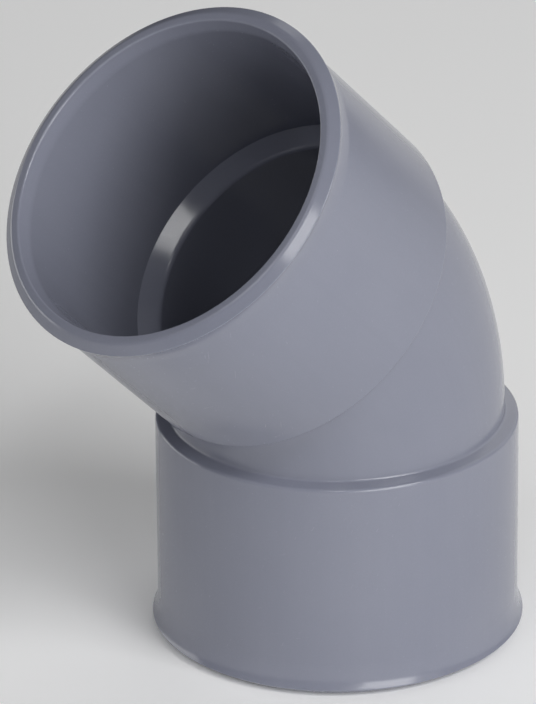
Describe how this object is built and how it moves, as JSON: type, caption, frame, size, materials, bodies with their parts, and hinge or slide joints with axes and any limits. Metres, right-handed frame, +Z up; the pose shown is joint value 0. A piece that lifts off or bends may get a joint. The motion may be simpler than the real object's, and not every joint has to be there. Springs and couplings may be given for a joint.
{
  "type": "pipe elbow fitting",
  "caption": "Rigid plastic pipe elbow that turns a drain line through 45 degrees, with a plain socket at each end, a small lip round each mouth and an inner stop for the pipe.",
  "frame": {"origin": "on the ground under the middle of the bounding box, midway along X and in the plane of symmetry", "axes": "+Z up along the lower socket's axis, from its mouth towards the bend; the upper socket leans 45 degrees towards -X; Y = 0 is the plane of symmetry"},
  "size_m": [0.0824, 0.057, 0.1028],
  "materials": {
    "grey_pvc": "cool mid-grey rigid PVC, smooth and moderately glossy as moulded, the same inside and out"
  },
  "bodies": {
    "root": {"lower_mouth_bead": "grey_pvc", "lower_socket_sleeve": "grey_pvc", "lower_shoulder": "grey_pvc", "lower_pipe_stop": "grey_pvc", "bend": "grey_pvc", "upper_pipe_stop": "grey_pvc", "upper_shoulder": "grey_pvc", "upper_socket_sleeve": "grey_pvc", "upper_mouth_bead": "grey_pvc"}
  },
  "joints": []
}
